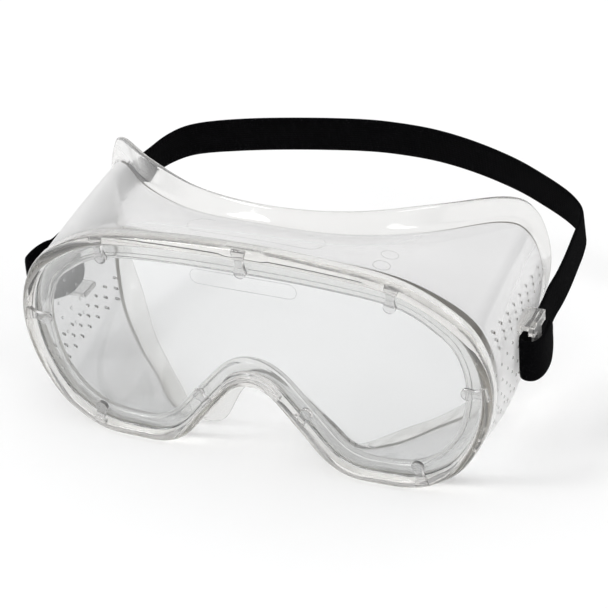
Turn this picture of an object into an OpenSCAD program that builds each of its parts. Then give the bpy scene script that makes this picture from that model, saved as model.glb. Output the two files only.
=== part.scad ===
// Soft-bodied safety goggles: a clear moulded body, a clear lens and an elastic headband.
// The front of the rim is near the plane y = 0, the wearer's face is towards +Y, +Z is up and
// the goggles stand on the plane z = 0. All outlines are mirrored about x = 0.

/* [Body] */
// Radius of the gentle curve across the front
bow_r = 1460; // [1200:10:3000]
// Depth of the front rim behind the front plane
rim_depth = 4; // [3.6:0.1:6]
// How far the front bead stands in front of the front plane
bead_proud = 1.5; // [0.5:0.1:2]
// Thickness of the body wall
wall_t = 1.8; // [1.2:0.1:2.2]
// Thickness of the face flange at its edge
flange_t = 1.4; // [1:0.1:2]
// How far the wall bulges outwards at the brow and the nose
wall_bulge = 0.8; // [0:0.1:1.2]
// How far the wall bulges outwards beside the cheeks
cheek_bulge = 3.8; // [2.8:0.1:4]

/* [Lens] */
// Thickness of the lens
lens_t = 1.6; // [1:0.1:1.6]
// Front of the lens behind the front plane
lens_y = 0.8; // [0.6:0.1:0.8]

/* [Retaining tabs] */
// Thickness of a tab, front to back
tab_t = 1.4; // [1:0.1:1.8]
// Width of a tab at its neck
tab_neck = 2.6; // [2:0.1:4]
// Width of a tab at its round end
tab_head = 4.2; // [3:0.1:6]

/* [Vents] */
// Radius of a vent hole
vent_r = 0.5; // [0.4:0.1:0.8]
// Distance between vent holes in a row
vent_pitch = 6.02; // [5:0.01:6.06]
// Vent holes in the lowest row of the upper block
upper_count = 9; // [5:1:9]
// Vent holes in a row of the lower block
lower_count = 8; // [4:1:8]

/* [Strap lugs] */
// Length of a lug, front to back
lug_len = 11; // [10:0.5:11]
// Thickness of a lug's upper arm at its ends
lug_arm = 3.6; // [2.5:0.1:4]
// Distance from the middle of the goggles to the outside of a lug
lug_reach = 84; // [83.8:0.1:85]

/* [Headband] */
// Width of the elastic
band_w = 15; // [12:0.5:15]
// Thickness of the elastic
band_t = 1.4; // [1:0.1:1.5]
// Angle at which the headband rises towards the back
band_rise = 13.2; // [5:0.1:20]

/* [Hidden] */

steps = 4; // stations between two control points
clear_pvc = [0.86, 0.88, 0.91, 0.5];
clear_lens = [0.82, 0.86, 0.92, 0.35];
black_elastic = [0.04, 0.04, 0.045];

// Right-hand halves of the outlines, from the middle of the brow round the temple and the cheek
// to the top of the nose arch. Flat outlines are [x, z] and the rear ones are [x, y, z]. The
// same position in each list is the same place round the goggles.
rim_outer = [
  [0, 81.2], [28, 80], [52, 76.2], [70, 66], [77.8, 55], [80.6, 41], [78, 26], [71, 12.5],
  [63.5, 5.6], [54, 1.1], [42, 0.5], [32, 1.3], [24, 6], [15.5, 16.5], [6.5, 27.2], [0, 29.4]];
rim_opening = [
  [0, 70.2], [28, 69.4], [50, 66.6], [63, 59], [68.6, 51.8], [71, 40], [68.6, 26], [63.5, 17],
  [58.5, 12.4], [52, 9.3], [42, 8.4], [35.3, 9.2], [29, 13], [20.5, 23], [9.5, 35.2], [0, 38.6]];
flange_crease = [
  [0, 21, 77.8], [26, 24.5, 76.6], [48, 37.5, 74], [66, 57, 70], [73.5, 62.5, 64],
  [77.3, 63.3, 52], [76.3, 62, 39], [74.4, 58, 25.5], [70.3, 52.5, 14], [61.8, 44.5, 4.6],
  [51, 34, 1.2],
  [40, 21, 0.8], [30, 14, 2.5], [20, 12.5, 12.5], [9, 11, 24], [0, 9.5, 29.6]];
flange_edge = [
  [0, 25.5, 82], [26, 29, 82.2], [50, 42.5, 81], [68, 58, 77.3], [75, 64.5, 69.5],
  [78.3, 67, 56], [77.6, 66.5, 42.5], [73, 63.5, 29], [66.5, 58.5, 16.5], [59, 50, 5.5],
  [50, 41, 0.8], [41, 31, 0.4], [28, 16.5, 0.3], [17.7, 14.4, 3], [9.8, 15.2, 16.5],
  [0, 14, 26]];
wall_bulges = [
  wall_bulge, wall_bulge, wall_bulge, wall_bulge, 0.4, -0.4, 0.9, 3.2, cheek_bulge, 2.4,
  wall_bulge, wall_bulge, wall_bulge, wall_bulge, wall_bulge, wall_bulge];
brow_end = 3; // positions where the named regions of the body meet
cheek_start = 8;
nose_start = 12;
nose_top = len(rim_outer) - 1;

// Plan of the headband's centreline behind its hinge line, as [x, distance back along the
// band's own slope], from the left lug round the back to the right lug.
band_plan = [
  [-86.6, 0], [-86.6, 4], [-86.6, 8.5], [-84.2, 14], [-82.2, 22], [-79.6, 32.5], [-75.9, 42],
  [-71.6, 50.2],
  [-64, 56.6], [-47.5, 62.2], [-27.5, 66.8], [-7, 70.3], [7, 71.2], [21.3, 70.5], [36.4, 67.5],
  [51.8, 62.5], [64, 56.7], [72.6, 51.8], [77.8, 47.6], [80.7, 43.6], [81.6, 38], [81.8, 31.5],
  [81.9, 22.5], [81.6, 15], [80.9, 8.5], [80.9, 4], [80.9, 0]];
band_left_end = 7; // positions in the plan where the headband's pieces meet
band_right_start = 18;
band_end_t = band_t - 0.2; // thickness of the round ends on the hinge line

// Plan of the elastic round each lug's bar, as [x, y] on the right-hand side. The left loop runs
// from its loose end inside the lug, forward and round the bar, to the headband outside the lug.
// The right loop runs from the headband inside the lug to its loose end outside.
loop_left = [
  [80.9, 43], [80.9, 39], [80.9, 35.6], [81.9, 32.4], [84.4, 29.5], [87.8, 26.9], [90.9, 26.2],
  [92.7, 28.2], [93, 31.5], [92.5, 35.5], [91.3, 39], [89.6, 42.4]];
loop_right = [
  [80.4, 42.6], [79.9, 39], [79.6, 35.6], [79.5, 32.6], [80.3, 30.3], [82.2, 29.5], [84.3, 30.2],
  [85.7, 32.8], [86.1, 36.4], [85.8, 41], [84.8, 46]];

hinge_y = 50.5; // the line behind the lugs that the headband bends about
hinge_z = 38.15;
lug_y = 32; // front end of a lug
lug_z = 36.5; // middle of a lug's slot
lug_slot_h = band_w + 0.4;
lug_root_x = [77, 76.2]; // where a lug's upper and lower arms are rooted in the side wall
lug_arch = [79.4, 82]; // inner and outer side of the arch under the upper arm
lug_plate = 1.7; // thickness of the upper arm over its arch
lug_low_arm = [3.2, 1.8]; // how far back the lower arm starts, and its thickness
lug_bar = [2, 4, 3.2]; // thickness and length of the upright bar, and how far back it starts
vent_first_y = [9.1, 8.2]; // front vent of the upper and lower blocks
wall_rings = 5;

// Point at fraction t of the way from b to c on the smooth curve through a, b, c and d
function curve_point(a, b, c, d, t) =
  0.5 * (2 * b + (c - a) * t + (2 * a - 5 * b + 4 * c - d) * t * t
         + (3 * b - a - 3 * c + d) * t * t * t);

// A half outline followed by its mirror image
function mirrored(half) =
  concat(half, [for (i = [len(half) - 2:-1:1]) [-half[i][0], half[i][1], half[i][2]]]);

// The smooth closed curve through a half outline and its mirror image
function closed_curve(half) =
  let (p = mirrored(half), n = len(p))
  [for (i = [0:n - 1]) for (k = [0:steps - 1])
    curve_point(p[(i + n - 1) % n], p[i], p[(i + 1) % n], p[(i + 2) % n], k / steps)];

// The smooth open curve through a list of points
function open_curve(p) =
  let (n = len(p), first = 2 * p[0] - p[1], last = 2 * p[n - 1] - p[n - 2])
  concat([for (i = [0:n - 2]) for (k = [0:steps - 1])
    curve_point(i == 0 ? first : p[i - 1], p[i], p[i + 1], i == n - 2 ? last : p[i + 2],
                k / steps)], [p[n - 1]]);

function unit(v) = v / norm(v);
function between(a, b, s) = [for (i = [0:len(a) - 1]) a[i] * (1 - s) + b[i] * s];
function flat_outline(half) = [for (p = half) [p[0], 0, p[1]]];
function bowed(curve, y) = [for (p = curve) [p[0], y + p[0] * p[0] / (2 * bow_r), p[2]]];

// A closed curve moved by d, or by each of a list d, towards its inside as seen from the front
function inset(a, d) =
  let (n = len(a))
  [for (i = [0:n - 1])
    let (q = a[(i + 1) % n] - a[(i + n - 1) % n], t = unit([q[0], q[2]]), m = is_list(d) ? d[i] : d)
    [a[i][0] + t[1] * m, a[i][1], a[i][2] - t[0] * m]];

outer_curve = closed_curve(flat_outline(rim_outer));
opening_curve = closed_curve(flat_outline(rim_opening));
crease_curve = closed_curve(flange_crease);
edge_curve = closed_curve(flange_edge);
wall_front = bowed(inset(outer_curve, 0.7), rim_depth);
bulge_curve = closed_curve([for (b = wall_bulges) [0, b, 0]]);
wall_curves = [for (k = [0:wall_rings - 1])
  let (s = k / (wall_rings - 1))
  inset(between(wall_front, crease_curve, s), [for (b = bulge_curve) -b[1] * 4 * s * (1 - s)])];

// Outward directions of the wall at its rear end and of the flange, at each station
stations = len(outer_curve);
tangents = [for (i = [0:stations - 1])
  crease_curve[(i + 1) % stations] - crease_curve[(i + stations - 1) % stations]];
wall_out = [for (i = [0:stations - 1])
  unit(cross(tangents[i], crease_curve[i] - wall_curves[wall_rings - 2][i]))];
flange_out = [for (i = [0:stations - 1])
  unit(cross(tangents[i], edge_curve[i] - crease_curve[i]))];
crease_inside = [for (i = [0:stations - 1])
  crease_curve[i] - (wall_out[i] + flange_out[i]) * wall_t / (1 + wall_out[i] * flange_out[i])];
edge_inside = [for (i = [0:stations - 1]) edge_curve[i] - flange_out[i] * flange_t];
wall_insides = [for (k = [0:wall_rings - 1])
  k < wall_rings - 1 ? inset(wall_curves[k], wall_t) : crease_inside];

lowest = min([for (c = concat([outer_curve, edge_curve], wall_curves)) for (p = c) p[2]]);

// Everything is lifted so that its lowest outline stands on z = 0
module standing() {
  translate([0, 0, -lowest]) children();
}

// A ring with the given closed curves as the corners of its section, in order round the section
module ring_solid(rings) {
  m = len(rings);
  n = len(rings[0]);
  polyhedron(
    points = [for (r = rings) each r],
    faces = [for (j = [0:m - 1]) for (i = [0:n - 1])
      let (a = j * n + i, b = j * n + (i + 1) % n,
           c = ((j + 1) % m) * n + (i + 1) % n, d = ((j + 1) % m) * n + i)
      each [[a, b, c], [a, c, d]]],
    convexity = 10);
}

// A part of a thin ring between two stations, from curves on its outside and its inside
module shell_part(outside, inside, first, last) {
  m = len(outside);
  n = last - first + 1;
  rings = concat(outside, [for (j = [m - 1:-1:0]) inside[j]]);
  function at(j, i) = (j % (2 * m)) * n + i;
  polyhedron(
    points = [for (r = rings) for (i = [first:last]) r[(i + stations) % stations]],
    faces = concat(
      [for (j = [0:2 * m - 2]) for (i = [0:n - 2])
        each [[at(j, i), at(j, i + 1), at(j + 1, i + 1)],
              [at(j, i), at(j + 1, i + 1), at(j + 1, i)]]],
      [for (i = [0:n - 2])
        each [[at(2 * m - 1, i), at(2 * m - 1, i + 1), at(0, i)],
              [at(2 * m - 1, i + 1), at(0, i + 1), at(0, i)]]],
      [for (j = [0:m - 2])
        each [[at(j, 0), at(j + 1, 0), at(2 * m - 2 - j, 0)],
              [at(j, 0), at(2 * m - 2 - j, 0), at(2 * m - 1 - j, 0)]]],
      [for (j = [0:m - 2])
        each [[at(j, n - 1), at(2 * m - 2 - j, n - 1), at(j + 1, n - 1)],
              [at(j, n - 1), at(2 * m - 1 - j, n - 1), at(2 * m - 2 - j, n - 1)]]]),
    convexity = 10);
}

// The curve at fraction s of the way from the rim's outside to the lens opening
function rim_ring(s, y) = bowed(between(outer_curve, opening_curve, s), y);

module front_rim() {
  color(clear_pvc) standing()
    ring_solid([
      rim_ring(0, rim_depth), rim_ring(0, 0.9), rim_ring(0.06, -bead_proud * 0.45),
      rim_ring(0.16, -bead_proud), rim_ring(0.27, -bead_proud * 0.85),
      rim_ring(0.36, -bead_proud * 0.1), rim_ring(0.38, lens_y), rim_ring(0.38, rim_depth)]);
}

// The ledge that backs the lens, with a small bead round the opening
module lens_seat() {
  front = lens_y + lens_t + 0.05;
  color(clear_pvc) standing()
    ring_solid([
      rim_ring(0.38, rim_depth), rim_ring(0.38, front), rim_ring(0.93, front),
      rim_ring(1, front + 0.5), rim_ring(1, rim_depth), rim_ring(0.93, rim_depth + 0.7),
      rim_ring(0.8, rim_depth + 0.7), rim_ring(0.76, rim_depth)]);
}

module lens() {
  color(clear_lens) standing() intersection() {
    rotate([90, 0, 0]) translate([0, 0, -10]) linear_extrude(20)
      polygon([for (p = between(outer_curve, opening_curve, 0.39)) [p[0], p[2]]]);
    translate([0, bow_r, -5]) difference() {
      cylinder(r = bow_r - lens_y, h = 100, $fn = 360);
      translate([0, 0, -1]) cylinder(r = bow_r - lens_y - lens_t, h = 102, $fn = 360);
    }
  }
}

module wall_part(first, last) {
  shell_part(wall_curves, wall_insides, first * steps, last * steps);
}

module vent(y, z) {
  translate([60, y, z]) rotate([0, 90, 0]) cylinder(r = vent_r, h = 24, $fn = 16);
}

module temple_wall() {
  difference() {
    wall_part(brow_end, cheek_start);
    for (row = [0:2]) {
      for (i = [row < 2 ? 1 : 0:upper_count - 1])
        vent(vent_first_y[0] + vent_pitch * i, 55.9 - 0.34 * i - 2.7 * row);
      for (i = [0:lower_count - 1])
        vent(vent_first_y[1] + vent_pitch * (i + 0.5) - 1.5 * row, 24 - 3.2 * row);
    }
  }
}

module flange_part(first, last) {
  shell_part([crease_curve, edge_curve], [crease_inside, edge_inside],
             first * steps, last * steps);
}

module left_hand() {
  mirror([1, 0, 0]) children();
}

module brow_wall() { color(clear_pvc) standing() wall_part(-brow_end, brow_end); }
module temple_wall_left() { color(clear_pvc) standing() left_hand() temple_wall(); }
module temple_wall_right() { color(clear_pvc) standing() temple_wall(); }
module cheek_wall_left() {
  color(clear_pvc) standing() left_hand() wall_part(cheek_start, nose_start);
}
module cheek_wall_right() { color(clear_pvc) standing() wall_part(cheek_start, nose_start); }
module nose_wall() { color(clear_pvc) standing() wall_part(nose_start, 2 * nose_top - nose_start); }

module brow_flange() { color(clear_pvc) standing() flange_part(-brow_end, brow_end); }
module temple_flange_left() {
  color(clear_pvc) standing() left_hand() flange_part(brow_end, cheek_start);
}
module temple_flange_right() { color(clear_pvc) standing() flange_part(brow_end, cheek_start); }
module cheek_flange_left() {
  color(clear_pvc) standing() left_hand() flange_part(cheek_start, nose_start);
}
module cheek_flange_right() { color(clear_pvc) standing() flange_part(cheek_start, nose_start); }
module nose_flange() {
  color(clear_pvc) standing() flange_part(nose_start, 2 * nose_top - nose_start);
}

// A tab that reaches from the bead, at root, across the edge of the lens to a round tip
module tab(root, tip) {
  reach = tip - root;
  back = lens_y + root[0] * root[0] / (2 * bow_r) - 0.4;
  color(clear_pvc) standing()
    translate([root[0], back, root[1]])
      rotate([90, 0, 0]) rotate(atan2(reach[1], reach[0])) linear_extrude(tab_t) {
        translate([0, -tab_neck * 0.75]) square([norm(reach) * 0.4, tab_neck * 1.5]);
        translate([0, -tab_neck / 2]) square([norm(reach), tab_neck]);
        translate([norm(reach), 0]) circle(d = tab_head, $fn = 32);
      }
}

// Root and tip of the right-hand and central tabs, as [x, z]
brow_centre = [[0, 78.8], [0, 72.8]];
brow_side = [[49.6, 74.4], [48.8, 68.8]];
temple_side = [[77.6, 41.6], [72.4, 40.6]];
lower_side = [[56.3, 4.6], [55.2, 9.6]];
nose_side = [[16.4, 20.4], [18.6, 22.9]];
function to_left(p) = [-p[0], p[1]];

module brow_tab_left() { tab(to_left(brow_side[0]), to_left(brow_side[1])); }
module brow_tab_centre() { tab(brow_centre[0], brow_centre[1]); }
module brow_tab_right() { tab(brow_side[0], brow_side[1]); }
module side_tab_left() { tab(to_left(temple_side[0]), to_left(temple_side[1])); }
module side_tab_right() { tab(temple_side[0], temple_side[1]); }
module lower_tab_left() { tab(to_left(lower_side[0]), to_left(lower_side[1])); }
module lower_tab_right() { tab(lower_side[0], lower_side[1]); }
module nose_tab_left() { tab(to_left(nose_side[0]), to_left(nose_side[1])); }
module nose_tab_right() { tab(nose_side[0], nose_side[1]); }

// The arched lip that holds the lens at the top of the nose arch
module nose_lip() {
  outside_r = 11.5;
  inside_r = 7.9;
  half_w = 10;
  color(clear_pvc) standing()
    translate([0, lens_y - 0.2, 23.5]) rotate([90, 0, 0]) linear_extrude(tab_t)
      intersection() {
        difference() {
          circle(r = outside_r, $fn = 96);
          circle(r = inside_r, $fn = 96);
        }
        translate([-half_w, outside_r / 2]) square([2 * half_w, outside_r]);
      }
}

// A strap lug: an upper and a lower arm on the side wall, joined outside by an upright bar. The
// upper arm is arched over the edge of the elastic.
module lug() {
  half_slot = lug_slot_h / 2;
  translate([0, lug_y, lug_z]) {
    difference() {
      translate([lug_root_x[0], 0, half_slot])
        cube([lug_reach - lug_root_x[0], lug_len, lug_arm]);
      translate([lug_arch[0], -1, half_slot - 1])
        cube([lug_arch[1] - lug_arch[0], lug_len + 2, lug_arm - lug_plate + 1]);
    }
    translate([lug_root_x[1], lug_low_arm[0], -half_slot - lug_low_arm[1]])
      cube([lug_reach - lug_root_x[1], lug_len - lug_low_arm[0], lug_low_arm[1]]);
    translate([lug_reach - lug_bar[0], lug_bar[2], -half_slot - 1])
      cube([lug_bar[0], lug_bar[1], lug_slot_h + 2]);
  }
}
module strap_lug_left() { color(clear_pvc) standing() left_hand() lug(); }
module strap_lug_right() { color(clear_pvc) standing() lug(); }

// A flat ribbon of elastic along part of a plan curve, upright in the plan's own frame
module ribbon(curve, first, last) {
  end = len(curve) - 1;
  corners = [for (i = [first:last])
    let (t = unit(curve[min(i + 1, end)] - curve[max(i - 1, 0)]), out = [-t[1], t[0]] * band_t / 2)
    for (c = [[1, -1], [1, 1], [-1, 1], [-1, -1]])
      [curve[i][0] + out[0] * c[0], curve[i][1] + out[1] * c[0], c[1] * band_w / 2]];
  far = 4 * (last - first);
  polyhedron(
    points = corners,
    faces = concat(
      [for (i = [0:last - first - 1]) for (k = [0:3])
        let (a = 4 * i + k, b = 4 * i + (k + 1) % 4)
        each [[a, b + 4, b], [a, a + 4, b + 4]]],
      [[0, 1, 2, 3], [far + 3, far + 2, far + 1, far]]));
}

module band_loop(plan) {
  curve = open_curve(plan);
  color(black_elastic) standing() translate([0, 0, lug_z]) ribbon(curve, 0, len(curve) - 1);
}
module band_loop_left() { left_hand() band_loop(loop_left); }
module band_loop_right() { band_loop(loop_right); }

// The headband's pieces lie on a slope that passes through the hinge line
band_curve = open_curve(band_plan);
band_last = len(band_plan) - 1;
module on_slope() {
  color(black_elastic) standing() translate([0, hinge_y, hinge_z]) rotate([band_rise, 0, 0])
    children();
}
module headband_part(first, last) {
  ribbon(band_curve, first * steps, last * steps);
}
module round_end(x) {
  translate([x - band_end_t / 2, 0, 0]) rotate([0, 90, 0])
    cylinder(d = band_w, h = band_end_t, $fn = 64);
}
module headband_left() {
  on_slope() {
    headband_part(0, band_left_end);
    round_end(band_plan[0][0]);
  }
}
module headband_right() {
  on_slope() {
    headband_part(band_right_start, band_last);
    round_end(band_plan[band_last][0]);
  }
}
module headband_rear() { on_slope() headband_part(band_left_end, band_right_start); }

front_rim();
lens_seat();
lens();
brow_wall();
temple_wall_left();
temple_wall_right();
cheek_wall_left();
cheek_wall_right();
nose_wall();
brow_flange();
temple_flange_left();
temple_flange_right();
cheek_flange_left();
cheek_flange_right();
nose_flange();
brow_tab_left();
brow_tab_centre();
brow_tab_right();
side_tab_left();
side_tab_right();
lower_tab_left();
lower_tab_right();
nose_tab_left();
nose_tab_right();
nose_lip();
strap_lug_left();
strap_lug_right();
band_loop_left();
band_loop_right();
headband_left();
headband_right();
headband_rear();
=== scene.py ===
"""Soft-bodied safety goggles: clear moulded body, clear lens and black elastic headband."""

import math

import bmesh
import bpy
import numpy as np
from mathutils import Matrix, Vector
from mathutils.bvhtree import BVHTree


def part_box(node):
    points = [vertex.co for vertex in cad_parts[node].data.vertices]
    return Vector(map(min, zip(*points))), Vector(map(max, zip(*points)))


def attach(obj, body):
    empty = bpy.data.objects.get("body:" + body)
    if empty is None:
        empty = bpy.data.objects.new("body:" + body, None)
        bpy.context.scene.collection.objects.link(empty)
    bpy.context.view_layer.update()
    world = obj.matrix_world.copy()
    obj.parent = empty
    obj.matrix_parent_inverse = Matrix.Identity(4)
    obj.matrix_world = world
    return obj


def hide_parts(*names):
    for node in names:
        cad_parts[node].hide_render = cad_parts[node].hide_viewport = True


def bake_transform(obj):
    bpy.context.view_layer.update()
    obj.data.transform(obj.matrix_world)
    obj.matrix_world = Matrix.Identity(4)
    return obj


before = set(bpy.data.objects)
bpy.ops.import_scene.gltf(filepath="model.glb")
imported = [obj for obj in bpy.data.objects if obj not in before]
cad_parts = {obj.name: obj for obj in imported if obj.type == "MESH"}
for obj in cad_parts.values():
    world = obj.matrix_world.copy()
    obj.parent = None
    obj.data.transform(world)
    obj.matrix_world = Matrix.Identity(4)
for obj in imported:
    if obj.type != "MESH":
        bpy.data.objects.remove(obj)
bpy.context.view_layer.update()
MM = 0.001
RIM_TOP = 81.2  # as in RIM_OUTER
DROP = RIM_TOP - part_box("front_rim")[1].z / MM  # the CAD model stands on its lowest edge

# ---------------------------------------------------------------- node helpers


def add_node(tree, kind, settings=None, **inputs):
    """A new node. Each input is a value, or a socket to link to it."""
    node = tree.nodes.new(kind)
    for key, value in (settings or {}).items():
        setattr(node, key, value)
    for key, value in inputs.items():
        socket = node.inputs[key.replace("_", " ")]
        if isinstance(value, bpy.types.NodeSocket):
            tree.links.new(value, socket)
        else:
            socket.default_value = value
    return node


def set_ramp(ramp, low, high):
    """Gives a colour ramp its two ends, each a (position, colour) pair."""
    for element, (position, colour) in zip(ramp.color_ramp.elements, (low, high)):
        element.position = position
        element.color = (*colour, 1)


def mix_shaders(tree, share, first, second):
    """A mix of two shader nodes, where share, a number or a socket, is the second one's part."""
    mix = add_node(tree, "ShaderNodeMixShader", Fac=share)
    tree.links.new(first.outputs[0], mix.inputs[1])
    tree.links.new(second.outputs[0], mix.inputs[2])
    return mix


# ---------------------------------------------------------------- camera, floor and light

CAMERA_ANGLES = (24.78, 33.34, -4.41)  # azimuth, elevation and roll in degrees
CAMERA_TARGET = Vector((20.75, 0, 65.02 - DROP)) * MM
CAMERA_DISTANCE = 0.8285
FOCAL_LENGTH = 159.87
SENSOR_WIDTH = 36
HORIZON = (0.10, (0.22, 0.225, 0.24))  # where the sky starts to brighten, and its grey there
SKY = (0.34, (1, 1, 1))
FLOOR_SIZE = 6
FLOOR_Z = -0.0002  # just under the goggles, so the two surfaces don't coincide
LAMP_SIZE = 0.4
LAMP_AIM = (0, 0.04, 0.03)


def add_camera():
    """A long lens looking down from the wearer's left, rolled to match the photograph."""
    azimuth, elevation, roll = (math.radians(a) for a in CAMERA_ANGLES)
    back = Vector((
        math.sin(azimuth) * math.cos(elevation),
        -math.cos(azimuth) * math.cos(elevation),
        math.sin(elevation)))
    level_right = Vector((math.cos(azimuth), math.sin(azimuth), 0))
    level_up = back.cross(level_right)
    right = level_right * math.cos(roll) + level_up * math.sin(roll)
    up = level_up * math.cos(roll) - level_right * math.sin(roll)
    data = bpy.data.cameras.new("camera")
    data.sensor_width = SENSOR_WIDTH
    data.lens = FOCAL_LENGTH
    data.clip_start = 0.01
    camera = bpy.data.objects.new("camera", data)
    camera.matrix_world = Matrix.Translation(CAMERA_TARGET + back * CAMERA_DISTANCE) @ Matrix(
        (right, up, back)).transposed().to_4x4()
    bpy.context.scene.collection.objects.link(camera)
    bpy.context.scene.camera = camera


def add_lamp(name, place, power):
    data = bpy.data.lights.new(name, "AREA")
    data.shape = "DISK"
    data.size = LAMP_SIZE
    data.energy = power
    light = bpy.data.objects.new(name, data)
    light.location = place
    light.rotation_euler = (Vector(LAMP_AIM) - Vector(place)).to_track_quat("-Z", "Y").to_euler()
    bpy.context.scene.collection.objects.link(light)


def add_world():
    """White overhead, and grey towards the horizon, to show the edges of clear plastic."""
    world = bpy.data.worlds.new("studio")
    bpy.context.scene.world = world
    world.use_nodes = True
    tree = world.node_tree
    background = tree.nodes["Background"]
    direction = add_node(tree, "ShaderNodeTexCoord")
    split = add_node(tree, "ShaderNodeSeparateXYZ", Vector=direction.outputs["Generated"])
    ramp = add_node(tree, "ShaderNodeValToRGB", Fac=split.outputs["Z"])
    set_ramp(ramp, HORIZON, SKY)
    tree.links.new(ramp.outputs["Color"], background.inputs["Color"])
    background.inputs["Strength"].default_value = 1.0


def add_floor():
    bpy.ops.mesh.primitive_plane_add(size=FLOOR_SIZE, location=(0, 0, FLOOR_Z))
    floor = bpy.context.object
    floor.name = "floor"
    material = bpy.data.materials.new("pale_floor")
    material.use_nodes = True
    shader = material.node_tree.nodes["Principled BSDF"]
    shader.inputs["Base Color"].default_value = (0.93, 0.93, 0.93, 1)
    shader.inputs["Roughness"].default_value = 0.9
    shader.inputs["Specular IOR Level"].default_value = 0.1
    floor.data.materials.append(material)


add_camera()
add_world()
add_floor()
add_lamp("key", (-0.7, -0.5, 1.3), power=4.2)
add_lamp("fill", (1.1, -0.8, 0.9), power=1.6)
bpy.context.scene.view_settings.view_transform = "Standard"

# ---------------------------------------------------------------- materials

PLASTIC_IOR = 1.5
SPECK_SCALE = 900.0
SPECK_RANGE = (0.35, 0.75)  # the part of the specks' noise that changes the roughness
ROUGHNESS_SPREAD = (0.6, 1.6)
RIPPLE_HEIGHT = 0.002
TINT_LOSS = 0.985  # how much darker the dullest patches are
LOW_ANGLE = (0.45, 0.8)  # the Facing values between which the surface gets its full haze
CLOUD_COLOUR = (0.97, 0.97, 0.97, 1)
ABSORPTION = 60.0


def add_moulded_surface(tree, shader, colour, roughness, ripple, ripple_scale):
    """Gives a clear shader faint ripples, specks of roughness and an uneven tint."""
    place = add_node(tree, "ShaderNodeTexCoord")
    waves = add_node(
        tree, "ShaderNodeTexNoise", Vector=place.outputs["Object"], Scale=ripple_scale, Detail=3.0)
    specks = add_node(
        tree, "ShaderNodeTexNoise", Vector=place.outputs["Object"], Scale=SPECK_SCALE, Detail=2.0)
    bump = add_node(
        tree, "ShaderNodeBump", Height=waves.outputs["Fac"], Strength=ripple,
        Distance=RIPPLE_HEIGHT)
    rough = add_node(
        tree, "ShaderNodeMapRange", Value=specks.outputs["Fac"],
        From_Min=SPECK_RANGE[0], From_Max=SPECK_RANGE[1],
        To_Min=roughness * ROUGHNESS_SPREAD[0], To_Max=roughness * ROUGHNESS_SPREAD[1])
    tint = add_node(tree, "ShaderNodeValToRGB", Fac=waves.outputs["Fac"])
    set_ramp(tint, (0.3, [c * TINT_LOSS for c in colour]), (0.7, colour))
    tree.links.new(tint.outputs["Color"], shader.inputs["Base Color"])
    tree.links.new(rough.outputs["Result"], shader.inputs["Roughness"])
    tree.links.new(bump.outputs["Normal"], shader.inputs["Normal"])


def add_haze(tree, shader, haze):
    """Mixes a milky shader into a clear one, most where the surface is seen at a low angle."""
    forward = add_node(tree, "ShaderNodeBsdfTranslucent", Color=CLOUD_COLOUR)
    backward = add_node(tree, "ShaderNodeBsdfDiffuse", Color=CLOUD_COLOUR)
    cloud = mix_shaders(tree, 0.5, forward, backward)
    slant = add_node(tree, "ShaderNodeLayerWeight", Blend=0.5)
    cloudiness = add_node(
        tree, "ShaderNodeMapRange", {"interpolation_type": "SMOOTHSTEP"},
        Value=slant.outputs["Facing"], From_Min=LOW_ANGLE[0], From_Max=LOW_ANGLE[1],
        To_Min=haze[0], To_Max=haze[1])
    return mix_shaders(tree, cloudiness.outputs["Result"], shader, cloud)


def clear_plastic(name, colour, roughness, ripple, ripple_scale, haze, depth_tint):
    """Clear moulded plastic that lamps shine through. haze holds its cloudiness seen square on
    and at a low angle, and depth_tint is the colour that light takes on in thick parts."""
    material = bpy.data.materials.new(name)
    material.use_nodes = True
    tree = material.node_tree
    shader = tree.nodes["Principled BSDF"]
    output = tree.nodes["Material Output"]
    add_moulded_surface(tree, shader, colour, roughness, ripple, ripple_scale)
    shader.inputs["Transmission Weight"].default_value = 1.0
    shader.inputs["IOR"].default_value = PLASTIC_IOR
    cloudy = add_haze(tree, shader, haze)
    lamp_rays = add_node(tree, "ShaderNodeLightPath")
    see_through = add_node(
        tree, "ShaderNodeBsdfTransparent", Color=(*[math.sqrt(c) for c in colour], 1))
    surface = mix_shaders(tree, lamp_rays.outputs["Is Shadow Ray"], cloudy, see_through)
    tree.links.new(surface.outputs["Shader"], output.inputs["Surface"])
    absorb = add_node(
        tree, "ShaderNodeVolumeAbsorption", Color=(*depth_tint, 1), Density=ABSORPTION)
    tree.links.new(absorb.outputs["Volume"], output.inputs["Volume"])
    return material


def woven_elastic():
    """Black elastic: a dull weave with a little lint. Its ribs are in the mesh."""
    material = bpy.data.materials.new("woven_elastic")
    material.use_nodes = True
    tree = material.node_tree
    shader = tree.nodes["Principled BSDF"]
    place = add_node(tree, "ShaderNodeTexCoord")
    stitches = add_node(
        tree, "ShaderNodeTexWave", {"wave_type": "BANDS", "bands_direction": "X"},
        Vector=place.outputs["UV"], Scale=260.0, Distortion=1.5, Detail=2.0)
    lint = add_node(
        tree, "ShaderNodeTexNoise", Vector=place.outputs["Object"], Scale=2600.0, Detail=4.0)
    shade = add_node(tree, "ShaderNodeValToRGB", Fac=lint.outputs["Fac"])
    black, dusty = (0.0007, 0.0007, 0.0009), (0.0045, 0.0045, 0.0053)
    set_ramp(shade, (0.35, black), (0.8, dusty))
    height = add_node(tree, "ShaderNodeMath", {"operation": "ADD"})
    tree.links.new(stitches.outputs["Fac"], height.inputs[0])
    tree.links.new(lint.outputs["Fac"], height.inputs[1])
    bump = add_node(
        tree, "ShaderNodeBump", Height=height.outputs["Value"], Strength=0.5, Distance=0.0002)
    tree.links.new(shade.outputs["Color"], shader.inputs["Base Color"])
    tree.links.new(bump.outputs["Normal"], shader.inputs["Normal"])
    shader.inputs["Roughness"].default_value = 0.9
    shader.inputs["Specular IOR Level"].default_value = 0.04
    return material


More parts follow.
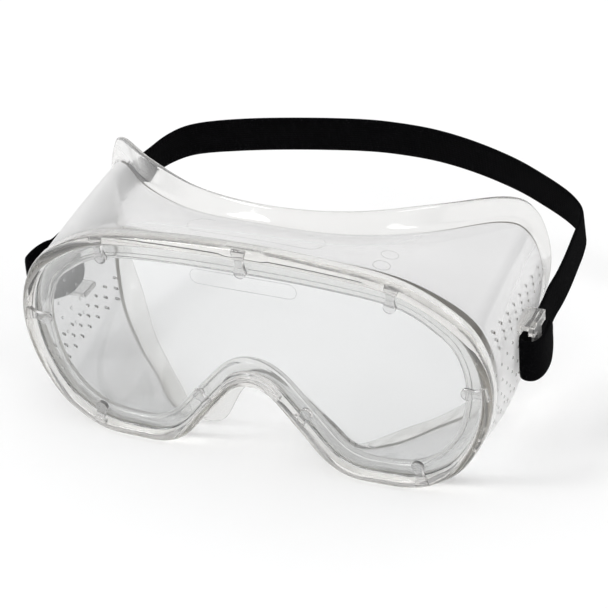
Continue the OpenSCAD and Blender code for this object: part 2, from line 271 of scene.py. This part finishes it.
soft_pvc = clear_plastic(
    "soft_pvc", colour=(0.9, 0.898, 0.892), roughness=0.05, ripple=0.10, ripple_scale=45.0,
    haze=(0.08, 0.3), depth_tint=(0.82, 0.80, 0.755))
wall_pvc = clear_plastic(
    "wall_pvc", colour=(0.815, 0.815, 0.82), roughness=0.08, ripple=0.12, ripple_scale=45.0,
    haze=(0.04, 0.9), depth_tint=(0.80, 0.785, 0.75))
tab_pvc = clear_plastic(
    "tab_pvc", colour=(0.88, 0.88, 0.885), roughness=0.04, ripple=0.06, ripple_scale=45.0,
    haze=(0.03, 0.12), depth_tint=(0.82, 0.80, 0.755))
polycarbonate = clear_plastic(
    "polycarbonate", colour=(0.88, 0.886, 0.888), roughness=0.01, ripple=0.01, ripple_scale=30.0,
    haze=(0.01, 0.03), depth_tint=(0.9, 0.92, 0.92))
elastic = woven_elastic()

# ---------------------------------------------------------------- outlines

# Right-hand halves of the outlines in millimetres, from the middle of the brow round the temple
# and the cheek to the top of the nose arch, as in the CAD model.
RIM_OUTER = [
    (0, 81.2), (28, 80), (52, 76.2), (70, 66), (77.8, 55), (80.6, 41), (78, 26), (71, 12.5),
    (63.5, 5.6), (54, 1.1), (42, 0.5), (32, 1.3), (24, 6), (15.5, 16.5), (6.5, 27.2), (0, 29.4)]
RIM_OPENING = [
    (0, 70.2), (28, 69.4), (50, 66.6), (63, 59), (68.6, 51.8), (71, 40), (68.6, 26), (63.5, 17),
    (58.5, 12.4), (52, 9.3), (42, 8.4), (35.3, 9.2), (29, 13), (20.5, 23), (9.5, 35.2), (0, 38.6)]
FLANGE_CREASE = [
    (0, 21, 77.8), (26, 24.5, 76.6), (48, 37.5, 74), (66, 57, 70), (73.5, 62.5, 64),
    (77.3, 63.3, 52), (76.3, 62, 39), (74.4, 58, 25.5), (70.3, 52.5, 14), (61.8, 44.5, 4.6),
    (51, 34, 1.2), (40, 21, 0.8), (30, 14, 2.5), (20, 12.5, 12.5), (9, 11, 24), (0, 9.5, 29.6)]
FLANGE_EDGE = [
    (0, 25.5, 82), (26, 29, 82.2), (50, 42.5, 81), (68, 58, 77.3), (75, 64.5, 69.5),
    (78.3, 67, 56), (77.6, 66.5, 42.5), (73, 63.5, 29), (66.5, 58.5, 16.5), (59, 50, 5.5),
    (50, 41, 0.8), (41, 31, 0.4), (28, 16.5, 0.3), (17.7, 14.4, 3), (9.8, 15.2, 16.5),
    (0, 14, 26)]
# How far the wall bulges out between the rim and the crease, at each of the control points
WALL_BULGE = [0.8, 0.8, 0.8, 0.8, 0.4, -0.4, 0.9, 3.2, 3.8, 2.4, 0.8, 0.8, 0.8, 0.8, 0.8, 0.8]
FINE = 10  # stations between two control points
BOW_R = 1460  # the front bows back very slightly towards the sides
WALL_T = 1.8
FLANGE_T = 1.4
WALL_RINGS = 14  # rings from the rim to the bend at the crease
BEND_START = 0.95  # where the wall starts to bend, as a share of the way to the crease
BEND_END = 0.28  # where the bend ends, as a share of the way from the crease to the edge


def spline_point(a, b, c, d, t):
    """The point at t, from 0 to 1, between b and c on the smooth curve through all four."""
    return 0.5 * (2 * b + (c - a) * t + (2 * a - 5 * b + 4 * c - d) * t * t
                  + (3 * b - a - 3 * c + d) * t ** 3)


def closed_curve(half):
    """The smooth closed curve through a half outline and its mirror image, lowered by DROP."""
    right = [np.array((p[0], 0, p[1]) if len(p) == 2 else p, float) for p in half]
    left = [p * (-1, 1, 1) for p in right[-2:0:-1]]
    points = right + left
    n = len(points)
    curve = [
        spline_point(*[points[(i + offset) % n] for offset in (-1, 0, 1, 2)], k / FINE)
        for i in range(n) for k in range(FINE)]
    return np.array(curve) - (0, 0, DROP)


def open_curve(points, steps):
    """The smooth curve from the first point to the last."""
    points = [np.array(p, float) for p in points]
    points = [2 * points[0] - points[1]] + points + [2 * points[-1] - points[-2]]
    curve = [spline_point(*points[i:i + 4], k / steps)
             for i in range(len(points) - 3) for k in range(steps)]
    return np.array(curve + [points[-2]])


def unit_rows(vectors):
    return vectors / np.linalg.norm(vectors, axis=1)[:, None]


def inset(curve, distance):
    """A closed curve moved towards its inside, as seen from the front. distance is one number,
    or one for each station."""
    along = np.roll(curve, -1, 0) - np.roll(curve, 1, 0)
    flat = unit_rows(along[:, [0, 2]])
    return curve + np.stack([flat[:, 1] * distance, 0 * flat[:, 0], -flat[:, 0] * distance], 1)


outer_curve = closed_curve(RIM_OUTER)
opening_curve = closed_curve(RIM_OPENING)
crease_curve = closed_curve(FLANGE_CREASE)
edge_curve = closed_curve(FLANGE_EDGE)
bulge = closed_curve([(0, b, 0) for b in WALL_BULGE])[:, 1]


def rim_ring(s, y):
    """The curve at share s of the way in from the rim's outside to the opening, y mm back."""
    curve = outer_curve * (1 - s) + opening_curve * s
    curve[:, 1] = y + curve[:, 0] ** 2 / (2 * BOW_R)
    return curve


# ---------------------------------------------------------------- mesh helpers


def make_piece(name, vertices, faces, material, body="root", slot="soft_body",
               sharp_angle=40):
    """A mesh piece in metres from points in millimetres."""
    mesh = bpy.data.meshes.new(name)
    mesh.from_pydata([tuple(v * MM for v in p) for p in vertices], [], faces)
    mesh.validate()
    tidy = bmesh.new()
    tidy.from_mesh(mesh)
    bmesh.ops.recalc_face_normals(tidy, faces=tidy.faces)
    tidy.to_mesh(mesh)
    tidy.free()
    mesh.shade_smooth()
    mesh.set_sharp_from_angle(angle=math.radians(sharp_angle))
    mesh.materials.append(material)
    piece = bpy.data.objects.new(name, mesh)
    bpy.context.scene.collection.objects.link(piece)
    if body:
        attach(piece, body)
    return piece


def ring_faces(rings, stations, closed_section=True):
    """Quads between neighbouring rings of points, and from the last ring back to the first where
    the section is closed."""
    faces = []
    for j in range(rings if closed_section else rings - 1):
        for i in range(stations):
            a, b = j * stations + i, j * stations + (i + 1) % stations
            up = ((j + 1) % rings) * stations
            faces.append((a, b, up + (i + 1) % stations, up + i))
    return faces


def apply_modifiers(piece):
    """Replaces a piece's mesh with what its modifiers make of it."""
    depsgraph = bpy.context.evaluated_depsgraph_get()
    mesh = bpy.data.meshes.new_from_object(piece.evaluated_get(depsgraph))
    piece.modifiers.clear()
    piece.data = mesh


def stadium(x, y, half_length, half_height, arc=12):
    """Points round a bar with round ends that lies along X."""
    points = []
    for side in (1, -1):
        for k in range(arc + 1):
            a = math.pi * (k / arc - 0.5)
            points.append((x + side * (half_length - half_height + half_height * math.cos(a)),
                           y + side * half_height * math.sin(a)))
    return points


def tube(points, radius, sides=8):
    """A closed thin round tube along points."""
    points = np.array(points)
    along = unit_rows(np.roll(points, -1, 0) - np.roll(points, 1, 0))
    first = unit_rows(np.cross(along, (0.31, 0.55, 0.77)))  # a direction that no tube here takes
    second = np.cross(along, first)
    rings = [points + radius * (first * math.cos(a) + second * math.sin(a))
             for a in np.linspace(0, 2 * math.pi, sides, endpoint=False)]
    return np.concatenate(rings), ring_faces(sides, len(points))


def extrude_outline(outline, place, thickness, edge=0.3):
    """A flat plate with a rounded front edge. outline holds (x, z) offsets from place."""
    outline = np.array(outline)
    n = len(outline)
    along = unit_rows(np.roll(outline, -1, 0) - np.roll(outline, 1, 0))
    inward = np.stack([-along[:, 1], along[:, 0]], 1)
    x, z = outline.T
    area = (x * np.roll(z, -1) - z * np.roll(x, -1)).sum()
    inward *= 1 if area > 0 else -1
    steps = (
        (0, 0), (thickness - edge, 0), (thickness - edge * 0.3, edge * 0.3), (thickness, edge))
    vertices = []
    for depth, shrink in steps:
        for x, z in outline + inward * shrink:
            vertices.append((place[0] + x, place[1] - depth, place[2] + z))
    faces = ring_faces(4, n, closed_section=False)
    faces += [tuple(range(n)), tuple(range(3 * n, 4 * n))]
    return vertices, faces


# ---------------------------------------------------------------- the clear moulding

# The rim's section, as shares of the way in from its outside and mm behind its front
BEAD_HALF, BEAD_EDGE_Y, BEAD_RISE = 0.19, 0.9, 2.3  # the big rounded bead
LEDGE_Y = 2.5  # the flat ledge between the two beads, on which the lens rests
LIP_START, LIP_WIDTH = 0.91, 0.09  # the small bead round the opening
LIP_Y, LIP_HALF = 3.7, 1.15
RIM_BACK_Y = 4.6
NECK = 0.7  # how far in from the rim's outside the wall starts
VENT_R = 0.5
VENT_PITCH = 6.02
BODY_SHARP_ANGLE = 40


def wall_surface():
    """The outside of the body, from the back of the rim to the flange's edge, as rings."""
    front = inset(rim_ring(0, RIM_BACK_Y), NECK)
    rings = []
    for k in range(WALL_RINGS):
        t = BEND_START * k / (WALL_RINGS - 1)
        straight = front * (1 - t) + crease_curve * t
        rings.append(inset(straight, -bulge * 4 * t * (1 - t)))
    before = rings[-1]
    out = unit_rows(edge_curve - crease_curve)
    edge = edge_curve - out * FLANGE_T / 2  # the edge's rounding reaches the rest of the way
    after = crease_curve * (1 - BEND_END) + edge * BEND_END
    for u in (0.25, 0.5, 0.75):
        rings.append(before * (1 - u) ** 2 + crease_curve * 2 * u * (1 - u) + after * u * u)
    for t in (BEND_END, 0.52, 0.76, 0.9, 1.0):
        rings.append(crease_curve * (1 - t) + edge * t)
    return np.array(rings)


def grid_normals(grid):
    """Unit normals of a grid of closed rings, pointing to the outside of the body."""
    across = np.gradient(grid, axis=0)
    along = np.roll(grid, -1, 1) - np.roll(grid, 1, 1)
    normal = np.cross(along, across)
    normal /= np.linalg.norm(normal, axis=2)[:, :, None]
    outward = grid[0] - grid[0].mean(0)
    if (normal[0] * outward).sum() < 0:
        normal = -normal
    return normal


def rim_rings():
    """The rim's curves, from its outside over the front and round the opening to its back."""
    rings = []
    for angle in np.linspace(0, math.pi, 13):
        rings.append(rim_ring(BEAD_HALF - BEAD_HALF * math.cos(angle),
                              BEAD_EDGE_Y - BEAD_RISE * math.sin(angle) ** 0.7))
    rings += [rim_ring(0.375, 1.6), rim_ring(0.385, 2.35)]
    rings += [rim_ring(s, LEDGE_Y) for s in (0.42, 0.55, 0.7, 0.82)]
    for angle in np.linspace(0, math.pi, 9):
        rings.append(rim_ring(LIP_START + LIP_WIDTH * math.sin(angle) ** 0.8,
                              LIP_Y - LIP_HALF * math.cos(angle)))
    rings += [rim_ring(0.84, 4.8), rim_ring(0.78, 4.1), rim_ring(0.6, 4.0), rim_ring(0.42, 4.0)]
    return rings


def body_rings():
    """Closed curves in order round the section of the moulding, and the numbers of the wall's."""
    rings = rim_rings()
    outside = wall_surface()
    normal = grid_normals(outside)
    share = np.linspace(0, 1, len(outside))[:, None, None]
    inside = outside - normal * (WALL_T * (1 - share) + FLANGE_T * share)
    wall = list(range(len(rings), len(rings) + WALL_RINGS - 1))
    rings += list(inside[1:])
    edge_normal = normal[-1]
    back = unit_rows(outside[-1] - outside[-2])
    middle = (outside[-1] + inside[-1]) / 2
    for angle in (-50, -20, 20, 50):  # the flange's rounded edge
        a = math.radians(angle)
        rings.append(middle + FLANGE_T / 2 * (edge_normal * math.sin(a) + back * math.cos(a)))
    rings += list(outside[::-1])
    wall += range(len(rings) - WALL_RINGS, len(rings) - 1)
    rings += [inset(rim_ring(0, 4.3), 0.25), rim_ring(0, 3.8)]
    return rings, wall


def vent_places():
    """(y, z) of every vent hole in a side wall: three rows high up, and three low down."""
    upper_y, upper_z, upper_slope, upper_gap = 9.1, 55.9, 0.34, 2.7
    lower_y, lower_z, lower_shift, lower_gap = 8.2, 24, 1.5, 3.2
    places = []
    for row in range(3):
        for i in range(1 if row < 2 else 0, 9):  # the two highest rows lack their front hole
            places.append((upper_y + VENT_PITCH * i, upper_z - upper_slope * i - upper_gap * row))
        for i in range(8):
            places.append((lower_y + VENT_PITCH * (i + 0.5) - lower_shift * row,
                           lower_z - lower_gap * row))
    return places


def hole_cutter():
    """One mesh of rods along X, which go through both side walls at every vent."""
    sides, inner_x, outer_x = 14, 60, 84
    vertices, faces = [], []
    for y, z in vent_places():
        for side in (-1, 1):
            base = len(vertices)
            for x in (inner_x, outer_x):
                for k in range(sides):
                    a = 2 * math.pi * k / sides
                    vertices.append((side * x, y + VENT_R * math.cos(a),
                                     z - DROP + VENT_R * math.sin(a)))
            for k in range(sides):
                n = (k + 1) % sides
                faces.append((base + k, base + n, base + sides + n, base + sides + k))
            faces.append(tuple(range(base, base + sides)))
            faces.append(tuple(range(base + sides, base + 2 * sides)))
    return vertices, faces


def build_body():
    """The moulding in one piece: its rim and flange clear, and its wall hazier."""
    rings, wall = body_rings()
    stations = len(rings[0])
    body = make_piece("clear_body", np.concatenate(rings), ring_faces(len(rings), stations),
                      soft_pvc, sharp_angle=BODY_SHARP_ANGLE)
    body.data.materials.append(wall_pvc)
    for face in body.data.polygons:
        face.material_index = int(face.index // stations in wall)
    cutter = make_piece("vent_cutter", *hole_cutter(), soft_pvc)
    modifier = body.modifiers.new("vents", "BOOLEAN")
    modifier.object = cutter
    modifier.operation = "DIFFERENCE"
    modifier.solver = "EXACT"
    apply_modifiers(body)
    body.data.set_sharp_from_angle(angle=math.radians(BODY_SHARP_ANGLE))
    bpy.data.objects.remove(cutter)
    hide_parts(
        "front_rim", "lens_seat", "brow_wall", "temple_wall_left", "temple_wall_right",
        "cheek_wall_left", "cheek_wall_right", "nose_wall", "brow_flange", "temple_flange_left",
        "temple_flange_right", "cheek_flange_left", "cheek_flange_right", "nose_flange")


def wall_tree():
    """The outside of the body, in mm, for finding points on it."""
    grid = wall_surface()
    rings, stations = grid.shape[:2]
    faces = ring_faces(rings, stations, closed_section=False)
    return BVHTree.FromPolygons([tuple(p) for p in grid.reshape(-1, 3)], faces)


PIP_R, PIP_HEIGHT = 0.62, 0.42
PIP_ROWS = (45, 39.4, 33.9, 28.4, 22.9)  # their heights, before DROP is taken off
PIP_START, PIP_PITCH = 8, 6.1  # along Y
PIP_RINGS = ((1, -0.25), (1, 0), (0.72, 0.7), (0.3, 0.97))  # shares of its radius and height
BROW_LINE_R = 0.1


def pip(hit, normal, sides=10):
    """A low rounded bump at a point of the wall."""
    turn = normal.to_track_quat("Z", "Y")
    vertices = []
    for ring_radius, lift in PIP_RINGS:
        for k in range(sides):
            a = 2 * math.pi * k / sides
            local = Vector((PIP_R * ring_radius * math.cos(a),
                            PIP_R * ring_radius * math.sin(a), PIP_HEIGHT * lift))
            vertices.append(tuple(hit + turn @ local))
    last = (len(PIP_RINGS) - 1) * sides
    faces = ring_faces(len(PIP_RINGS), sides, closed_section=False)
    faces += [tuple(range(sides)), tuple(range(last, last + sides))]
    return vertices, faces


def build_wall_details():
    """Raised pips in five columns on the side walls, and plain outlines on the brow wall."""
    tree = wall_tree()
    vertices, faces = [], []
    for z in PIP_ROWS:
        for column in range(5):
            for side in (-1, 1):
                hit, normal, _, _ = tree.ray_cast(
                    Vector((side * 100, PIP_START + PIP_PITCH * column, z - DROP)),
                    Vector((-side, 0, 0)))
                if normal.x * side < 0:
                    normal = -normal
                points, quads = pip(hit, normal)
                faces += [tuple(len(vertices) + i for i in face) for face in quads]
                vertices += points
    make_piece("wall_pips", vertices, faces, soft_pvc)

    def on_brow(x, y):
        hit, _, _, _ = tree.ray_cast(Vector((x, y, 200)), Vector((0, 0, -1)))
        return np.array(hit)

    outlines = {"brow_mark": [on_brow(x, y) for x, y in stadium(0.4, 12.4, 23, 4.4)]}
    for name, x, y in (("mould_ring_rear", 43.4, 16.2), ("mould_ring_front", 43.3, 9.4)):
        ring = [(x + 2.7 * math.cos(a), y + 2.4 * math.sin(a))
                for a in np.linspace(0, 2 * math.pi, 24, endpoint=False)]
        outlines[name] = [on_brow(*p) for p in ring]
    for name, points in outlines.items():
        make_piece(name, *tube(points, BROW_LINE_R), soft_pvc)


# ---------------------------------------------------------------- retaining tabs, lip and lugs

# Roots and tips of the tabs as (x, z), as in the CAD model
TABS = {
    "brow_tab_centre": ((0, 78.8), (0, 72.8)),
    "brow_tab_right": ((49.6, 74.4), (48.8, 68.8)),
    "side_tab_right": ((77.6, 41.6), (72.4, 40.6)),
    "lower_tab_right": ((56.3, 4.6), (55.2, 9.6)),
    "nose_tab_right": ((16.4, 20.4), (18.6, 22.9))}
TAB_T = 1.4
TAB_TIP_R = 2.1
# (share of the way from root to tip, half the width there in mm), up to where the round tip starts
TAB_PROFILE = [(-0.28, 2.35), (-0.1, 2.3), (0.08, 1.85), (0.28, 1.38), (0.5, 1.3), (0.72, 1.65),
               (0.9, 2.0), (1.02, 2.1)]


def tab_outline(reach):
    """The outline of a tab that reaches from (0, 0) to a tip, waisted, with a round end."""
    length = reach.length
    along, across = reach / length, Vector((-reach.y, reach.x)) / length
    edge = [(share * length, half) for share, half in TAB_PROFILE]
    edge += [(length + TAB_TIP_R * math.sin(a), TAB_TIP_R * math.cos(a))
             for a in (math.radians(d) for d in (20, 38, 56, 74, 90))]
    outline = [along * u + across * v for u, v in edge]
    outline += [along * u - across * v for u, v in edge[-2::-1]]
    return [tuple(p) for p in outline]


def build_tabs():
    """The tabs round the rim that hold the lens. Each one lies on it and stands out in front."""
    back_y = 0.4
    for name, (root, tip) in TABS.items():
        for side, piece_name in ((1, name), (-1, name.replace("_right", "_left"))):
            if side < 0 and piece_name == name:
                continue
            start = Vector((side * root[0], root[1]))
            reach = Vector((side * tip[0], tip[1])) - start
            place = (start.x, back_y + start.x ** 2 / (2 * BOW_R), start.y - DROP)
            tab = make_piece(piece_name + "_piece",
                             *extrude_outline(tab_outline(reach), place, TAB_T), tab_pvc)
            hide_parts(piece_name)


def build_nose_lip():
    """A crescent over the top of the nose arch, with rounded ends."""
    outer_r, inner_r, reach = 11.5, 7.9, math.radians(62)
    centre = (0, 0.6, 23.5 - DROP)
    outline = [(outer_r * math.sin(a), outer_r * math.cos(a))
               for a in np.linspace(-reach, reach, 25)]
    middle, half = (outer_r + inner_r) / 2, (outer_r - inner_r) / 2
    for side in (1, -1):
        end = Vector((side * middle * math.sin(reach), middle * math.cos(reach)))
        outward = Vector((side * math.cos(reach), -math.sin(reach)))
        radial = Vector((side * math.sin(reach), math.cos(reach)))
        cap = [end + half * (radial * math.cos(a) + outward * math.sin(a))
               for a in np.linspace(0.3, math.pi - 0.3, 6)]
        if side < 0:
            cap = cap[::-1]
            outline += [(inner_r * math.sin(a), inner_r * math.cos(a))
                        for a in np.linspace(reach, -reach, 19)]
        outline += [tuple(p) for p in cap]
    lip = make_piece("nose_lip_piece", *extrude_outline(outline, centre, TAB_T), tab_pvc)
    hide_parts("nose_lip")


def finish_lugs():
    """The lugs keep their CAD shape, in the moulding's plastic."""
    for node_name in ("strap_lug_left", "strap_lug_right"):
        for material_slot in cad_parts[node_name].material_slots:
            material_slot.material = soft_pvc


# ---------------------------------------------------------------- lens

LENS_FRONT, LENS_BACK = 0.85, 2.4
LENS_EDGE, LENS_FACE = 0.40, 0.42  # shares of the rim's width, at its edge and on its faces
LENS_STEP = 4  # mm between the cuts that let the sheet bow
MARK_R = 0.08


def build_lens():
    """A slightly bowed sheet with a rounded edge, inside the big bead, with a plain mark."""
    edge = [rim_ring(LENS_FACE, LENS_FRONT), rim_ring(LENS_EDGE, LENS_FRONT + 0.25),
            rim_ring(LENS_EDGE, LENS_BACK - 0.25), rim_ring(LENS_FACE, LENS_BACK)]
    n = len(edge[0])
    faces = ring_faces(len(edge), n, closed_section=False)
    faces.append(tuple(range(n)))
    faces.append(tuple(range((len(edge) - 1) * n, len(edge) * n)))
    lens = make_piece("lens_sheet", np.concatenate(edge), faces, polycarbonate, slot="lens",
                      sharp_angle=30)
    cut = bmesh.new()
    cut.from_mesh(lens.data)
    for x in range(-76, 77, LENS_STEP):
        bmesh.ops.bisect_plane(cut, geom=cut.verts[:] + cut.edges[:] + cut.faces[:],
                               plane_co=(x * MM, 0, 0), plane_no=(1, 0, 0))
    cut.to_mesh(lens.data)
    cut.free()
    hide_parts("lens")
    mark = [(x, LENS_FRONT - 0.02 + x * x / (2 * BOW_R), z)
            for x, z in stadium(0, 67.9, 18, 2.7)]
    make_piece("lens_mark", *tube(np.array(mark) - (0, 0, DROP), MARK_R), polycarbonate,
               slot="lens")


# ---------------------------------------------------------------- headband

BAND_W = 15
BAND_T = 1.3
BAND_STEPS = 8  # stations between two points of the plan
LUG_Z = 36.5 - DROP
HINGE = (50.5, 38.15 - DROP)  # (y, z) of the axis that the headband swings on
RISE = math.radians(13.2)  # how steeply the band goes up towards the back
TILT_START, TILT_LENGTH = 43, 18  # from this Y and over this length the band tilts to its slope
LEAN_PLACE, LEAN_SPREAD = (-76, 91), 18  # where, in plan, its top edge leans in
LEAN = math.radians(11)
RIBS, POINTS_PER_RIB, RIB_DEPTH = 15, 4, 0.07
END_ROUND = 4.0  # the length over which a loose end narrows
END_WIDTH = 0.55
# Plans of the elastic as (x, y), in the order that the elastic runs
LOOP_LEFT = [
    (-80.9, 43), (-80.9, 39), (-80.9, 35.6), (-81.9, 32.4), (-84.4, 29.5), (-87.8, 26.9),
    (-90.9, 26.2), (-92.7, 28.2), (-93, 31.5), (-92.5, 35.5), (-91.3, 39), (-89.4, 42.6)]
LOOP_RIGHT = [
    (80.4, 42.6), (79.9, 39), (79.6, 35.6), (79.5, 32.6), (80.3, 30.3), (82.2, 29.5),
    (84.3, 30.2), (85.7, 32.8), (86.1, 36.4), (85.8, 41), (84.8, 46)]
# From the left lug round the back to the right lug: (x, distance back along the band's slope)
BAND_PLAN = [
    (-86.8, 2), (-86.3, 8.5), (-84.2, 14), (-82.2, 22), (-79.6, 32.5), (-75.9, 42),
    (-71.6, 50.2), (-64, 56.6), (-47.5, 62.2), (-27.5, 66.8), (-7, 70.3), (7, 71.2),
    (21.3, 70.5), (36.4, 67.5), (51.8, 62.5), (64, 56.7), (72.6, 51.8), (77.8, 47.6),
    (80.7, 43.6), (81.6, 38), (81.8, 31.5), (81.9, 22.5), (81.6, 15), (80.9, 8.5), (80.8, 2)]


def band_points():
    """The centreline of the whole elastic, from the left loose end to the right one."""
    hinge_y, hinge_z = HINGE
    slope = [(x, hinge_y + d * math.cos(RISE), hinge_z + d * math.sin(RISE)) for x, d in BAND_PLAN]
    return [(*p, LUG_Z) for p in LOOP_LEFT] + slope + [(*p, LUG_Z) for p in LOOP_RIGHT]


def band_directions(centre):
    """At each station of the elastic, unit vectors across its width and out of its face."""
    along = unit_rows(np.gradient(centre, axis=0))
    share = np.clip((centre[:, 1] - TILT_START) / TILT_LENGTH, 0, 1)
    slope = RISE * share * share * (3 - 2 * share)
    width = np.stack([0 * slope, -np.sin(slope), np.cos(slope)], 1)
    width = unit_rows(width - along * (width * along).sum(1)[:, None])
    # The top edge leans in where the band turns at the back of the wearer's right side.
    far = ((centre[:, :2] - np.array(LEAN_PLACE)) ** 2).sum(1)
    lean = LEAN * np.exp(-far / LEAN_SPREAD ** 2)[:, None]
    width = width * np.cos(lean) + np.cross(along, width) * np.sin(lean)
    return width, np.cross(along, width)


def band_section():
    """Points round the elastic's section: flat faces with fine ribs, and rounded selvedges."""
    across = np.linspace(-1, 1, RIBS * POINTS_PER_RIB + 1)
    ripple = RIB_DEPTH * np.cos(across * math.pi * RIBS)
    thin = np.sqrt(np.clip(1 - np.abs(across) ** 14, 0, 1)) * 0.5
    front = [(w * BAND_W / 2, BAND_T * half + rib * (half > 0.3))
             for w, half, rib in zip(across, thin, ripple)]
    return front + [(w, -h) for w, h in front[::-1][1:-1]]


def build_headband():
    """The elastic in one piece: a loop through each lug, and the band round the back."""
    centre = open_curve(band_points(), BAND_STEPS)
    n = len(centre)
    width, out = band_directions(centre)
    distance = np.concatenate([[0], np.cumsum(np.linalg.norm(np.diff(centre, axis=0), axis=1))])
    section = band_section()
    m = len(section)
    vertices = []
    for i in range(n):
        from_end = min(distance[i], distance[-1] - distance[i])
        narrow = 1.0
        if from_end < END_ROUND:
            bend = math.sqrt(max(0.0, 1 - (1 - from_end / END_ROUND) ** 2))
            narrow = END_WIDTH + (1 - END_WIDTH) * bend
        for w, h in section:
            vertices.append(centre[i] + width[i] * w * narrow + out[i] * h)
    faces = [(i * m + k, i * m + (k + 1) % m, (i + 1) * m + (k + 1) % m, (i + 1) * m + k)
             for i in range(n - 1) for k in range(m)]
    faces.append(tuple(range(m)))
    faces.append(tuple(range((n - 1) * m, n * m)))
    band = make_piece("elastic_headband", vertices, faces, elastic, body=None, slot="elastic",
                      sharp_angle=60)
    uv = band.data.uv_layers.new(name="weave")
    for loop in band.data.loops:
        i, k = divmod(loop.vertex_index, m)
        uv.data[loop.index].uv = (distance[i] * MM, k / m)
    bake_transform(band)
    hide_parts("band_loop_left", "band_loop_right", "headband_left", "headband_right",
                "headband_rear")


build_body()
build_wall_details()
build_tabs()
build_nose_lip()
finish_lugs()
build_lens()
build_headband()
